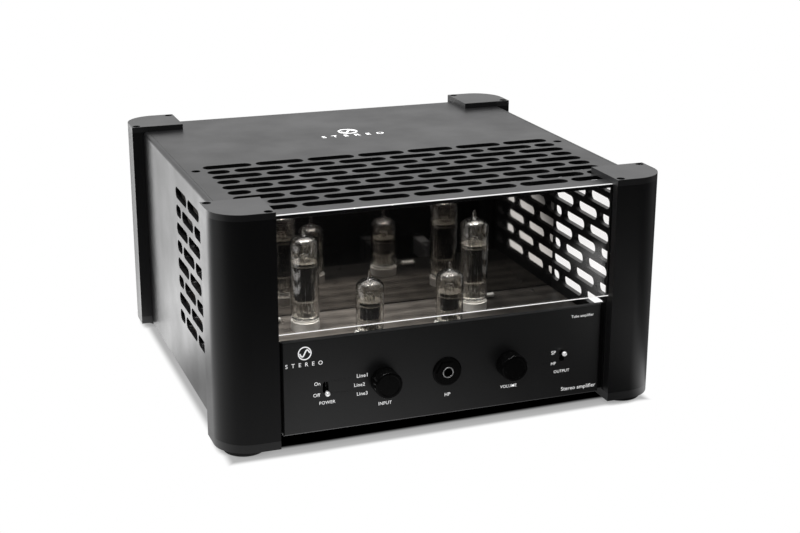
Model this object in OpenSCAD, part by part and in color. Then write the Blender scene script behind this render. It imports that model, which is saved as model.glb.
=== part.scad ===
// Tube amplifier: a low box on four rounded corner posts, with a window in front of the tubes.
// The origin is on the floor under the middle of the box. +X is right, -Y is the front, +Z is up.
// Every piece is its own module. "Inset" distances are measured inwards from the posts' outer faces.

/* [Box] */
// Width over the corner posts
body_w = 332; // [324:1:350]
// Depth over the corner posts
body_d = 322; // [320:1:340]
// Height of a corner post with its two caps
body_h = 168; // [166:1:180]
// Height of the rubber feet
foot_h = 5; // [4:0.5:8]
// Diameter of the rubber feet
foot_d = 30; // [24:1:34]

/* [Corner posts] */
// Width of a post, across the front
post_w = 41.5; // [41:0.5:44]
// Depth of a post, front to back
post_d = 41; // [41:0.5:44]
// Radius of a post's outer corner
post_r = 24; // [12:1:26]
// Thickness of a top cap
top_cap_t = 4.5; // [3.5:0.5:6]
// Thickness of a bottom cap
bottom_cap_t = 6; // [5:0.5:7]

/* [Panels] */
// Inset of the side panels' outer faces
side_inset = 9; // [8.5:0.5:9.5]
// Thickness of the side panels
side_t = 4; // [3:0.5:4]
// Thickness of the top plate
top_t = 3; // [2:0.5:3]
// Thickness of the bottom plate
bottom_t = 2; // [1.5:0.5:2.5]
// Inset of the front panel's face
panel_inset = 8.3; // [8.2:0.1:8.6]
// Thickness of the front panel
panel_t = 4; // [3.8:0.1:4.2]
// Height of the front panel
panel_h = 68.7; // [66:0.1:70]
// Height of the front panel's lower edge above the bottom of the posts
panel_lift = 5.1; // [4:0.1:6]
// Gap between the front panel and each post
panel_gap = 4; // [2:0.5:5]
// Chamfer round the front panel
panel_chamfer = 0.9; // [0.4:0.1:1.5]
// Inset of the window pane's face
window_inset = 6.8; // [6.6:0.1:7]
// Thickness of the window pane
window_t = 3; // [2:0.5:3]
// Open gap between the front panel and the window pane
window_gap = 6; // [3:0.5:8]
// Inset of the partition behind the tubes, from the front
partition_inset = 159; // [155:1:162]

/* [Vents] */
// Length of a vent slot
slot_len = 36.6; // [34:0.1:37]
// Width of a slot in the top plate
top_slot_w = 10.6; // [6:0.1:11.2]
// Width of a slot in the side, rear and bottom panels
side_slot_w = 8.7; // [5:0.1:9.6]
// Metal left between two slots in a row
slot_web = 3.55; // [3:0.05:4]
// Rows of slots in the top plate
top_rows = 9; // [3:1:9]
// Distance between rows in the top plate
top_row_pitch = 15.1; // [13:0.1:15.2]
// Inset of the rearmost row of the top plate, from the front
top_vent_inset = 148.3; // [146:0.1:150]
// Slots in a full row of the top plate
top_slots = 7; // [3:1:7]
// Rows of slots in each side panel
side_rows = 8; // [2:1:8]
// Distance between rows in a side panel
side_row_pitch = 13.7; // [12:0.1:13.9]
// Inset of the rear end of the side panels' slots, from the front
side_vent_inset = 161.7; // [160:0.1:163]
// Height of the upper row of a side panel above the bottom of the posts
side_vent_lift = 144.5; // [142:0.1:146]
// Slots in a full row of a side panel
side_slots = 3; // [2:1:3]

/* [Controls] */
// Height of the controls above the bottom of the posts
control_lift = 37.4; // [36:0.1:39]
// Distance of each knob from the middle
knob_x = 47.5; // [40:0.5:55]
// Diameter of the knobs
knob_d = 19.8; // [18:0.5:24]
// How far the knobs stand out of the front panel
knob_len = 12.5; // [11:0.5:17]
// Distance of each toggle switch from the middle
toggle_x = 89.8; // [84:0.1:96]
// Angle that a toggle lever moves through
toggle_throw = 26; // [16:1:28]
// Diameter of the headphone plug hole
plug_hole_d = 6.5; // [6.4:0.05:6.6]

/* [Tubes] */
// Distance of each power tube from the middle
power_tube_x = 69; // [60:1:80]
// Inset of the power tubes, from the front
power_tube_inset = 127.2; // [122:0.1:132]
// Diameter of a power tube
power_tube_d = 22.2; // [20:0.1:24]
// Height of a power tube above its socket
power_tube_h = 72; // [64:1:78]
// Distance of each preamp tube from the middle
preamp_tube_x = 31.7; // [26:0.1:40]
// Inset of the preamp tubes, from the front
preamp_tube_inset = 84.4; // [80:0.1:90]
// Diameter of a preamp tube
preamp_tube_d = 21; // [20:0.1:22]
// Height of a preamp tube above its socket
preamp_tube_h = 47; // [44:1:56]
// Height of the tube deck's top above the bottom of the posts
deck_lift = 38; // [36:0.5:40]

/* [Hidden] */

$fn = 64;
eps = 0.5;            // overshoot of a cutting shape
slack = 0.1;          // clearance of a sheet in its groove
thread_slack = 0.05;  // radial clearance of a screw or shaft in its hole

// Colours
black_anodised = [0.11, 0.11, 0.115];
black_cap = [0.16, 0.16, 0.17];
black_steel = [0.08, 0.08, 0.085];
black_gloss = [0.04, 0.04, 0.045];
glass_tint = [0.75, 0.8, 0.82, 0.3];
bright_metal = [0.78, 0.78, 0.8];
dull_metal = [0.45, 0.45, 0.47];
ceramic = [0.93, 0.92, 0.88];
rubber = [0.06, 0.06, 0.06];
copper_tape = [0.62, 0.4, 0.22];
board_green = [0.05, 0.12, 0.08];
red_plastic = [0.6, 0.06, 0.05];

// Outer faces and levels
left_x = -body_w / 2;
front_y = -body_d / 2;
base_z = foot_h;
cap_seam_z = base_z + bottom_cap_t;
top_z = base_z + body_h - top_cap_t;
floor_z = cap_seam_z + bottom_t;
deck_z = base_z + deck_lift;
control_z = base_z + control_lift;
panel_top_z = base_z + panel_lift + panel_h;

// Grooves and side wing of the post extrusion
groove_depth = 5.5;
post_wing = 17;
rear_inset = panel_inset + panel_t;
subpanel_t = 2;
plate_inset_y = window_inset + window_t + slack;
plate_half_w = body_w / 2 - side_inset - side_t - 0.15;
panel_face_y = front_y + panel_inset;
subpanel_y = front_y + rear_inset;
subpanel_back_y = subpanel_y + subpanel_t;
rear_panel_y = -subpanel_back_y;
rear_face_y = -subpanel_y;
panel_half_w = body_w / 2 - post_w - panel_gap;
between_posts = body_w / 2 - post_w;
sheet_half_w = between_posts + groove_depth - 0.5;

// Screws
cap_screw_points = [[4.2, post_d - 3.7], [post_w - 4.1, 3.7]];
screw_d = 3;
screw_head_d = 6;
screw_head_t = 1.5;
screw_sink = 1.4;     // depth of a cap screw's head below the face of its cap
screw_len = 16;
foot_screw_d = 4;

// Deck and partition
partition_y = front_y + partition_inset;
partition_t = 3;
deck_t = 1.6;
deck_front_y = front_y + 52;
rail_w = 14;
rail_h = 12;
rail_t = 2;
rail_end = 4;

// Tubes
socket_h = 8;
socket_r = 11;
tube_z = deck_z + socket_h + 0.2;
pin_circle_r = 5.95;
pin_r = 0.5;
pin_len = 6;
glass_t = 1;
base_glass_t = 2;
power_tube_y = front_y + power_tube_inset;
preamp_tube_y = front_y + preamp_tube_inset;

// Controls
shaft_r = 3;
bushing_r = 3.75;
bushing_len = 4.2;
nut_pocket_r = 6.6;
pivot_y = subpanel_back_y + 3;
lever_len = 15.5;
lever_slot_w = 4;
lever_slot_h = 8.6;
jack_neck_r = 4.75;

// Rear connectors
inlet_x = -98;
inlet_z = base_z + 57;
drawer_z = inlet_z + 13.5;
drawer_w = 20;
drawer_h = 8;
drawer_slack = 0.08;
line_xs = [62, 82, 102];
line_zs = [base_z + 47, base_z + 67];
terminal_xs = [-52, -32.95, -2, 17.05];
terminal_z = base_z + 57;
terminal_reach = 19;
stud_r = 3;
banana_r = 2.05;

// Transformers
power_core_w = 96;
power_core_stack = 45;
output_core_w = 66;
output_core_stack = 30;
transformer_y = 60;
output_transformer_x = 98;
board_y = [100, 144];
board_half_w = 62;
board_z = floor_z + 6;

// ---- helpers ----

// Places a child that is drawn with its outer corner at the origin, on one of the four corners.
module at_corner(side_x, side_y) {
    translate([side_x * body_w / 2, side_y * body_d / 2])
        mirror([side_x > 0 ? 1 : 0, 0, 0])
            mirror([0, side_y > 0 ? 1 : 0, 0])
                children();
}

// Draws a child on all four corners.
module at_all_corners() {
    for (side_x = [-1, 1], side_y = [-1, 1])
        at_corner(side_x, side_y) children();
}

// Turns a child that is drawn along +Z so that it points to the front, with its foot on plane y.
module facing_front(x, y, z) {
    translate([x, y, z]) rotate([90, 0, 0]) children();
}

// Turns a child that is drawn along +Z so that it points to the rear, with its foot on plane y.
module facing_rear(x, y, z) {
    translate([x, y, z]) rotate([-90, 0, 0]) children();
}

// Tube of outer radius r1 and inner radius r2.
module pipe(r1, r2, h) {
    difference() {
        cylinder(r = r1, h = h);
        translate([0, 0, -eps]) cylinder(r = r2, h = h + 2 * eps);
    }
}

// Countersunk screw, head upwards, in a face at the origin. Its head is sunk below the face.
module countersunk_screw(d, head_d, head_t, len, sink = 0) {
    translate([0, 0, -sink]) difference() {
        union() {
            translate([0, 0, -head_t]) cylinder(r1 = d / 2, r2 = head_d / 2, h = head_t);
            translate([0, 0, -len]) cylinder(d = d, h = len - head_t + 0.01);
        }
        translate([0, 0, -head_t * 0.8]) cylinder(d = d * 0.75, h = head_t, $fn = 6);
    }
}

// The hole that takes that screw.
module countersunk_hole(d, head_d, head_t, len, sink = 0) {
    translate([0, 0, -sink]) {
        translate([0, 0, -len - eps]) cylinder(d = d + 2 * thread_slack, h = len + 2 * eps);
        translate([0, 0, -head_t])
            cylinder(d1 = d + 2 * thread_slack, d2 = head_d + 2 * thread_slack, h = head_t);
        cylinder(d = head_d + 2 * thread_slack, h = sink + eps);
    }
}

// A slot with round ends, centred.
module slot_2d(len, w) {
    square([len - w, w], center = true);
    for (side = [-1, 1])
        translate([side * (len - w) / 2, 0]) circle(d = w);
}

// Rows of slots, staggered by half a pitch. The first row is at y = 0 and the others are below it.
module vent_field(rows, slots, row_pitch, slot_w) {
    pitch = slot_len + slot_web;
    half_len = (slot_len - slot_web) / 2;
    field = slots * pitch - slot_web;
    for (row = [0 : rows - 1]) {
        staggered = row % 2;
        count = slots - staggered;
        translate([0, -row * row_pitch]) {
            for (i = [0 : count - 1])
                translate([(i - (count - 1) / 2) * pitch, 0]) slot_2d(slot_len, slot_w);
            if (staggered == 1)
                for (side = [-1, 1])
                    translate([side * (field - half_len) / 2, 0]) slot_2d(half_len, slot_w);
        }
    }
}

// Nine places on a circle of ten, the spacing of the tube pins.
module at_pins() {
    for (i = [1 : 9])
        rotate([0, 0, i * 36 - 90]) translate([pin_circle_r, 0, 0]) children();
}

// Both tubes of a kind.
module at_pair(x, y) {
    for (side = [-1, 1])
        translate([side * x, y, tube_z]) children();
}

// ---- corner posts ----

// Outline of a post: a rectangle with its outer corner rounded.
module post_outline() {
    intersection() {
        square([post_w, post_d]);
        union() {
            translate([post_r, post_r]) circle(r = post_r, $fn = 96);
            translate([post_r, 0]) square([post_w, post_d]);
            translate([0, post_r]) square([post_w, post_d]);
        }
    }
}

// Section of the post extrusion: a thick angle, open towards the inside, with grooves for the side
// panel and the window. The panels lie behind its wing.
module post_section() {
    difference() {
        post_outline();
        translate([post_wing, rear_inset - slack]) square([post_w, post_d]);
        translate([side_inset - slack, post_d - groove_depth])
            square([side_t + 2 * slack, groove_depth + eps]);
        translate([post_w - groove_depth, window_inset - slack])
            square([groove_depth + eps, window_t + 2 * slack]);
        for (p = cap_screw_points)
            translate(p) circle(d = screw_d + 2 * thread_slack);
    }
}

module post() {
    pocket_x = side_inset + side_t;
    color(black_anodised) difference() {
        translate([0, 0, cap_seam_z]) linear_extrude(top_z - cap_seam_z) post_section();
        translate([pocket_x, plate_inset_y - slack, top_z - top_t])
            cube([post_w, post_d, top_t + eps]);
        translate([pocket_x, rear_inset - slack, cap_seam_z - eps])
            cube([post_w, post_d, bottom_t + eps]);
    }
}

module top_cap() {
    color(black_cap) difference() {
        translate([0, 0, top_z]) linear_extrude(top_cap_t) post_outline();
        for (p = cap_screw_points)
            translate([p.x, p.y, top_z + top_cap_t])
                countersunk_hole(screw_d, screw_head_d, screw_head_t, screw_len, screw_sink);
    }
}

module bottom_cap() {
    difference() {
        translate([0, 0, base_z]) linear_extrude(bottom_cap_t) post_outline();
        for (p = cap_screw_points)
            translate([p.x, p.y, base_z]) mirror([0, 0, 1])
                countersunk_hole(screw_d, screw_head_d, screw_head_t, screw_len, screw_sink);
        translate([post_w / 2, post_d / 2, base_z - eps])
            cylinder(d = foot_screw_d + 2 * thread_slack, h = bottom_cap_t + 2 * eps);
    }
}

module bottom_caps() {
    color(black_cap) at_all_corners() bottom_cap();
}

module cap_screws() {
    color(black_steel) at_all_corners()
        for (p = cap_screw_points) {
            translate([p.x, p.y, top_z + top_cap_t])
                countersunk_screw(screw_d, screw_head_d, screw_head_t, screw_len, screw_sink);
            translate([p.x, p.y, base_z]) mirror([0, 0, 1])
                countersunk_screw(screw_d, screw_head_d, screw_head_t, screw_len, screw_sink);
        }
}

// A foot is a rubber pad with a bevelled rim and a recess for its screw.
module feet() {
    recess_r = 4.5;
    recess_h = foot_h - 2;
    hole_r = foot_screw_d / 2 + 0.2;
    color(rubber) at_all_corners()
        translate([post_w / 2, post_d / 2, 0])
            rotate_extrude()
                polygon([[recess_r, 0], [foot_d / 2 - 1, 0], [foot_d / 2, 1], [foot_d / 2, foot_h],
                    [hole_r, foot_h], [hole_r, recess_h], [recess_r, recess_h]]);
}

module foot_screws() {
    head_h = 2;
    head_z = foot_h - 2 - head_h;
    color(dull_metal) at_all_corners()
        translate([post_w / 2, post_d / 2, head_z]) {
            difference() {
                cylinder(d = 7.5, h = head_h);
                translate([0, 0, -eps]) cylinder(d = 3, h = 1.2 + eps, $fn = 6);
            }
            translate([0, 0, head_h - 0.01])
                cylinder(d = foot_screw_d, h = cap_seam_z - head_z - head_h - 0.5);
        }
}

// ---- casing ----

module top_plate() {
    color(black_anodised) difference() {
        translate([0, 0, top_z - top_t])
            linear_extrude(top_t)
                difference() {
                    translate([-plate_half_w, front_y + plate_inset_y])
                        square([2 * plate_half_w, body_d - 2 * plate_inset_y]);
                    translate([0, front_y + top_vent_inset])
                        vent_field(top_rows, top_slots, top_row_pitch, top_slot_w);
                }
        for (side = [-1, 1])
            translate([side * top_screw_x(), top_screw_y(), top_z])
                countersunk_hole(screw_d, screw_head_d + 0.4, screw_head_t, top_t);
    }
}

function top_screw_x() = body_w / 2 - side_inset - side_t - 7.4;
function top_screw_y() = partition_y - 18.1;

module top_plate_screws() {
    color(black_steel)
        for (side = [-1, 1])
            translate([side * top_screw_x(), top_screw_y(), top_z])
                countersunk_screw(screw_d, screw_head_d + 0.4, screw_head_t, 8);
}

// Angle rails inside the side panels. The top plate is screwed to them.
module top_rails() {
    rail_x = plate_half_w + 0.15;
    rail_top = top_z - top_t;
    rail_front = front_y + post_d + rail_end;
    color(black_steel)
        for (side = [-1, 1])
            mirror([side > 0 ? 1 : 0, 0, 0])
                difference() {
                    union() {
                        translate([-rail_x, rail_front, rail_top - rail_h])
                            cube([rail_t, -2 * rail_front, rail_h]);
                        translate([-rail_x, rail_front, rail_top - rail_t])
                            cube([rail_w, -2 * rail_front, rail_t]);
                    }
                    translate([-top_screw_x(), top_screw_y(), rail_top - rail_h])
                        cylinder(d = screw_d + 2 * thread_slack, h = rail_h + eps);
                }
}

// A side panel stands in the post grooves and closes the gap between the bottom caps.
module side_panel() {
    edge_r = 3;
    grooved = body_d / 2 - post_d + groove_depth - 0.5;
    between = body_d / 2 - post_d - 0.3;
    vent_len = side_slots * (slot_len + slot_web) - slot_web;
    vent_y = front_y + side_vent_inset - vent_len / 2;
    x = left_x + side_inset;
    color(black_anodised) difference() {
        translate([x, 0, 0])
            rotate([90, 0, 90]) linear_extrude(side_t)
                difference() {
                    union() {
                        translate([-grooved, cap_seam_z + 0.2])
                            square([2 * grooved, top_z - cap_seam_z - 0.2]);
                        translate([-between, base_z + 0.5]) square([2 * between, bottom_cap_t]);
                    }
                    translate([vent_y, base_z + side_vent_lift])
                        vent_field(side_rows, side_slots, side_row_pitch, side_slot_w);
                }
        translate([x - eps, -grooved - eps, top_z - edge_r])
            difference() {
                cube([edge_r + eps, 2 * grooved + 2 * eps, edge_r + eps]);
                translate([edge_r + eps, -eps, 0]) rotate([-90, 0, 0])
                    cylinder(r = edge_r, h = 2 * grooved + 4 * eps);
            }
    }
}

module left_side_panel() {
    side_panel();
}

module right_side_panel() {
    mirror([1, 0, 0]) side_panel();
}

module bottom_plate() {
    color(black_steel) difference() {
        translate([0, 0, cap_seam_z])
            linear_extrude(bottom_t)
                difference() {
                    translate([-plate_half_w, subpanel_y])
                        square([2 * plate_half_w, body_d - 2 * rear_inset]);
                    for (y = [-40, 96])
                        translate([0, y]) vent_field(2, 5, 14, side_slot_w);
                }
    }
}

module rear_panel() {
    color(black_anodised) difference() {
        translate([-sheet_half_w, rear_panel_y, floor_z])
            cube([2 * sheet_half_w, subpanel_t, top_z - top_t - floor_z]);
        for (x = line_xs, z = line_zs)
            facing_rear(x, rear_panel_y - eps, z) cylinder(r = 4.25, h = subpanel_t + 2 * eps);
        for (x = terminal_xs)
            facing_rear(x, rear_panel_y - eps, terminal_z) cylinder(r = 4.6, h = subpanel_t + 2 * eps);
        translate([inlet_x - 13.7, rear_panel_y - eps, inlet_z - 18.7])
            cube([27.4, subpanel_t + 2 * eps, 37.4]);
        translate([0, rear_panel_y - eps, base_z + 128])
            rotate([-90, 0, 0]) linear_extrude(subpanel_t + 2 * eps)
                mirror([0, 1, 0]) vent_field(3, 5, 14, side_slot_w);
    }
}

// The front panel is a thick plate with a chamfer on all four front edges.
module front_panel() {
    c = panel_chamfer;
    z = base_z + panel_lift;
    back_y = subpanel_y;
    color(black_anodised) difference() {
        intersection() {
            translate([-panel_half_w, 0, 0])
                rotate([90, 0, 90]) linear_extrude(2 * panel_half_w)
                    polygon([[panel_face_y, z + c], [panel_face_y, z + panel_h - c],
                        [panel_face_y + c, z + panel_h], [back_y, z + panel_h], [back_y, z],
                        [panel_face_y + c, z]]);
            translate([0, 0, z - eps])
                linear_extrude(panel_h + 2 * eps)
                    polygon([[-panel_half_w, back_y], [-panel_half_w, panel_face_y + c],
                        [-panel_half_w + c, panel_face_y], [panel_half_w - c, panel_face_y],
                        [panel_half_w, panel_face_y + c], [panel_half_w, back_y]]);
        }
        for (x = [-knob_x, knob_x])
            facing_front(x, back_y + eps, control_z) cylinder(r = nut_pocket_r, h = panel_t + 2 * eps);
        facing_front(0, back_y + eps, control_z)
            cylinder(r = jack_neck_r + thread_slack, h = panel_t + 2 * eps);
        for (x = [-toggle_x, toggle_x])
            facing_front(x, back_y + eps, control_z) rotate([0, 0, 90])
                linear_extrude(panel_t + 2 * eps) slot_2d(lever_slot_h, lever_slot_w);
    }
}

// Thin steel sheet behind the front panel. It carries the controls.
module front_subpanel() {
    color(black_steel) difference() {
        translate([-sheet_half_w, subpanel_y, floor_z])
            cube([2 * sheet_half_w, subpanel_t, panel_top_z - 0.8 - floor_z]);
        for (x = [-knob_x, knob_x])
            facing_front(x, subpanel_back_y + eps, control_z)
                cylinder(r = bushing_r + thread_slack, h = subpanel_t + 2 * eps);
        facing_front(0, subpanel_back_y + eps, control_z)
            cylinder(r = jack_neck_r + thread_slack, h = subpanel_t + 2 * eps);
        for (x = [-toggle_x, toggle_x])
            facing_front(x, subpanel_back_y + eps, control_z) rotate([0, 0, 90])
                linear_extrude(subpanel_t + 2 * eps) slot_2d(lever_slot_h, lever_slot_w);
    }
}

module window_pane() {
    z = panel_top_z + window_gap;
    color(glass_tint)
        translate([-sheet_half_w, front_y + window_inset, z])
            cube([2 * sheet_half_w, window_t, top_z - z]);
}

// Strips in the post grooves that hold the pane up.
module window_supports() {
    h = panel_top_z + window_gap - cap_seam_z;
    color(black_steel)
        for (side = [-1, 1])
            translate([side * (between_posts + groove_depth / 2), front_y + window_inset + window_t / 2,
                cap_seam_z + h / 2])
                cube([groove_depth - 1, window_t, h], center = true);
}

// ---- inside: partition and deck ----

// The partition divides the tubes from the transformers. Its top corners clear the rails.
module partition() {
    corner_w = rail_w + 1;
    color(black_gloss) difference() {
        translate([-plate_half_w, partition_y, floor_z])
            cube([2 * plate_half_w, partition_t, top_z - top_t - floor_z]);
        for (side = [-1, 1])
            translate([side * plate_half_w, partition_y + partition_t / 2, top_z - top_t])
                cube([2 * corner_w, partition_t + 2 * eps, 2 * (rail_h + 1)], center = true);
    }
}

deck_post_points = [for (x = [-130, 0, 130], y = [deck_front_y + 10, partition_y - 12]) [x, y]];
board_post_points = [for (x = [-board_half_w + 5, board_half_w - 5], y = [board_y[0] + 5, board_y[1] - 5])
    [x, y]];

module tube_deck() {
    color(black_gloss) difference() {
        translate([-plate_half_w + 3, deck_front_y, deck_z - deck_t])
            cube([2 * (plate_half_w - 3), partition_y - 1 - deck_front_y, deck_t]);
        for (p = deck_post_points)
            translate([p.x, p.y, deck_z - deck_t - eps])
                cylinder(d = screw_d + 2 * thread_slack, h = deck_t + 2 * eps);
    }
}

// Hexagonal standoffs, each with the stud that passes through its board.
module standoff(h, stud_h) {
    cylinder(d = 7, h = h, $fn = 6);
    translate([0, 0, h - 0.01]) cylinder(d = screw_d, h = stud_h);
}

module standoffs() {
    color(bright_metal) {
        for (p = deck_post_points)
            translate([p.x, p.y, floor_z]) standoff(deck_z - deck_t - floor_z, deck_t + 2);
        for (p = board_post_points)
            translate([p.x, p.y, floor_z]) standoff(board_z - floor_z, deck_t + 2);
    }
}

// ---- inside: tubes ----

module tube_socket() {
    difference() {
        union() {
            cylinder(r = socket_r - 1.5, h = socket_h);
            cylinder(r = socket_r, h = socket_h - 1.5);
        }
        at_pins() translate([0, 0, 1]) cylinder(r = pin_r + 0.1, h = socket_h);
        translate([0, 0, 1]) cylinder(r = 2.4, h = socket_h);
    }
}

module tube_sockets() {
    color(ceramic) translate([0, 0, -socket_h - 0.2]) {
        at_pair(power_tube_x, power_tube_y) tube_socket();
        at_pair(preamp_tube_x, preamp_tube_y) tube_socket();
    }
}

// Half section of the bulb's wall and dome, inset by t.
function bulb_side(d, h, t) = let(r = d / 2 - t, dome_h = 6.8 - t, shoulder = h - 13)
    [for (a = [0 : 10 : 70]) [r * cos(a), shoulder + dome_h * sin(a)]];

module tube_glass(d, h) {
    outside = bulb_side(d, h, 0);
    inside = bulb_side(d, h, glass_t);
    color(glass_tint) difference() {
        rotate_extrude()
            polygon(concat([[0, 0], [d / 2 - 1.5, 0], [d / 2, 1.5]], outside,
                [[2.5, h - 6.1], [1.7, h - 5.2], [1.4, h - 3], [1, h - 0.8], [0.6, h - 0.2], [0, h]],
                [[0, h - 7.3]], [for (i = [len(inside) - 1 : -1 : 0]) inside[i]],
                [[d / 2 - glass_t, base_glass_t + 1], [d / 2 - glass_t - 1, base_glass_t],
                    [0, base_glass_t]]));
        at_pins() translate([0, 0, -eps]) cylinder(r = pin_r + 0.05, h = base_glass_t + 2 * eps);
    }
}

// Electrode stack: pins and leads, two mica discs, the plate between them, and the getter.
module tube_electrodes(d, mica_low, mica_high, plate_w, plate_d) {
    mica_r = d / 2 - glass_t - 0.6;
    mica_t = 0.5;
    plate_h = mica_high - mica_low;
    at_pins() translate([0, 0, -pin_len]) cylinder(r = pin_r, h = pin_len + mica_low + mica_t / 2);
    for (z = [mica_low, mica_high])
        translate([0, 0, z]) cylinder(r = mica_r, h = mica_t);
    translate([-plate_w / 2, -plate_d / 2, mica_low]) cube([plate_w, plate_d, plate_h + mica_t / 2]);
    for (side = [-1, 1])
        translate([side * plate_w * 0.36, 0, mica_low]) cylinder(r = 0.5, h = plate_h + 4);
    translate([0, 0, mica_high]) cylinder(r = 0.4, h = 5.3);
    translate([0, 0, mica_high + 5]) pipe(3, 2.2, 0.6);
    translate([-3, -0.3, mica_high + 5]) cube([6, 0.6, 0.6]);
}

module left_power_tube_glass() {
    translate([-power_tube_x, power_tube_y, tube_z]) tube_glass(power_tube_d, power_tube_h);
}

module right_power_tube_glass() {
    translate([power_tube_x, power_tube_y, tube_z]) tube_glass(power_tube_d, power_tube_h);
}

module left_preamp_tube_glass() {
    translate([-preamp_tube_x, preamp_tube_y, tube_z]) tube_glass(preamp_tube_d, preamp_tube_h);
}

module right_preamp_tube_glass() {
    translate([preamp_tube_x, preamp_tube_y, tube_z]) tube_glass(preamp_tube_d, preamp_tube_h);
}

module power_tube_electrodes() {
    color(dull_metal) at_pair(power_tube_x, power_tube_y)
        tube_electrodes(power_tube_d, 12, power_tube_h - 25, 14, 9);
}

module preamp_tube_electrodes() {
    color(dull_metal) at_pair(preamp_tube_x, preamp_tube_y)
        tube_electrodes(preamp_tube_d, 9, preamp_tube_h - 22, 13, 7);
}

// ---- controls ----

// A knob is drawn along +Z, with its skirt at 0. It has a rounded rim, a shallow dished face,
// a blind bore for the shaft and a fine index groove.
module knob() {
    r = knob_d / 2;
    h = knob_len - 0.6;
    rim_r = 1.2;
    color(black_gloss) difference() {
        rotate_extrude($fn = 96)
            polygon(concat([[0, 0], [r - 0.4, 0], [r, 0.4]],
                [for (a = [0 : 15 : 90]) [r - rim_r + rim_r * cos(a), h - rim_r + rim_r * sin(a)]],
                [[r - 2.2, h], [r - 2.6, h - 0.35], [0, h - 0.35]]));
        translate([0, 0, -eps]) cylinder(r = shaft_r + thread_slack, h = knob_len - 4 + eps);
        translate([-0.3, r - 5, h - 0.75]) cube([0.6, 6, 1]);
    }
}

// A round shaft, from inside the knob to inside the switch body.
module control_shaft() {
    color(bright_metal) cylinder(r = shaft_r, h = knob_len + 9);
}

// Threaded bushing of a control. The shaft's bore is cut by the control's own module.
module bushing() {
    translate([0, 0, -0.01]) cylinder(r = bushing_r, h = subpanel_t + bushing_len);
}

module input_knob() {
    facing_front(-knob_x, panel_face_y - 0.6, control_z) knob();
}

module input_shaft() {
    facing_front(-knob_x, subpanel_back_y + 7, control_z) control_shaft();
}

// Rotary selector: a round wafer stack on a square plate.
module input_switch() {
    color(dull_metal) facing_front(-knob_x, subpanel_back_y, control_z) difference() {
        union() {
            translate([0, 0, -18]) cylinder(r = 12.5, h = 16.01);
            translate([-13, -13, -2]) cube([26, 26, 2]);
            bushing();
        }
        translate([0, 0, -7.5]) cylinder(r = shaft_r + thread_slack, h = 20);
    }
}

module volume_knob() {
    facing_front(knob_x, panel_face_y - 0.6, control_z) knob();
}

module volume_shaft() {
    facing_front(knob_x, subpanel_back_y + 7, control_z) control_shaft();
}

// Stereo potentiometer: two stacked square cases.
module volume_potentiometer() {
    color(dull_metal) facing_front(knob_x, subpanel_back_y, control_z) difference() {
        union() {
            translate([-13, -13, -12]) cube([26, 26, 12]);
            translate([-12, -12, -25]) cube([24, 24, 13.01]);
            bushing();
        }
        translate([0, 0, -7.5]) cylinder(r = shaft_r + thread_slack, h = 20);
    }
}

// Nuts that hold the two rotary controls to the sub-panel.
module control_nuts() {
    color(bright_metal)
        for (x = [-knob_x, knob_x])
            facing_front(x, subpanel_y, control_z) difference() {
                cylinder(d = 12, h = 2.4, $fn = 6);
                translate([0, 0, -eps]) cylinder(r = bushing_r + thread_slack, h = 4);
            }
}

// A lever points along +Z from its pivot at the origin, with its pivot pin along X.
module toggle_lever() {
    color(bright_metal) {
        rotate([0, 90, 0]) cylinder(r = 0.6, h = 6.6, center = true);
        sphere(r = 1.45, $fn = 32);
        translate([0, 0, -3.6]) cylinder(r = 0.8, h = 3.6);
        cylinder(r1 = 1.0, r2 = 1.2, h = lever_len - 1.8);
        translate([0, 0, lever_len - 1.8]) sphere(r = 1.8, $fn = 32);
    }
}

// The power lever stands with its tip down, and the output lever with its tip up.
module power_toggle_lever() {
    translate([-toggle_x, pivot_y, control_z]) rotate([90 + toggle_throw / 2, 0, 0]) toggle_lever();
}

module output_toggle_lever() {
    translate([toggle_x, pivot_y, control_z]) rotate([90 - toggle_throw / 2, 0, 0]) toggle_lever();
}

// The switch body holds the lever's pivot pin in its two cheeks.
module toggle_switch(x) {
    case_w = 9;
    case_h = 15;
    case_d = 18;
    color(dull_metal) difference() {
        union() {
            translate([x - case_w / 2, subpanel_back_y, control_z - case_h / 2])
                cube([case_w, case_d, case_h]);
            for (dz = [-5, 0, 5])
                translate([x, subpanel_back_y + case_d + 1.9, control_z + dz])
                    cube([2, 4, 0.8], center = true);
        }
        translate([x - 1.6, subpanel_back_y - eps, control_z - 4.6]) cube([3.2, 8 + eps, 9.2]);
        translate([x, pivot_y, control_z]) rotate([0, 90, 0])
            cylinder(r = 0.6 + thread_slack, h = 6.8, center = true);
    }
}

module power_toggle_switch() {
    toggle_switch(-toggle_x);
}

module output_toggle_switch() {
    toggle_switch(toggle_x);
}

// Headphone jack: a closed body behind the sub-panel and a threaded neck through both panels.
module headphone_jack() {
    neck_len = subpanel_t + panel_t + 2.6;
    bore_len = 30;
    color(bright_metal) facing_front(0, subpanel_back_y, control_z) difference() {
        union() {
            translate([-8, -8, -25]) cube([16, 16, 25]);
            translate([0, 0, -0.01]) cylinder(r = jack_neck_r, h = neck_len + 0.01);
        }
        translate([0, 0, neck_len - bore_len]) cylinder(d = plug_hole_d, h = bore_len + eps);
    }
}

// Escutcheon and nut in one: a bevelled round flange with a hexagon on it.
module headphone_nut() {
    flange_r = 10.75;
    hex_d = 17;
    color(black_gloss) facing_front(0, panel_face_y, control_z) difference() {
        union() {
            rotate_extrude($fn = 96)
                polygon([[0, 0], [flange_r, 0], [flange_r, 0.8], [flange_r - 0.9, 1.4], [0, 1.4]]);
            translate([0, 0, 1.39]) cylinder(d = hex_d, h = 1.2, $fn = 6);
        }
        translate([0, 0, -eps]) cylinder(r = jack_neck_r + thread_slack, h = 5);
    }
}

// ---- inside: power supply ----

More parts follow.
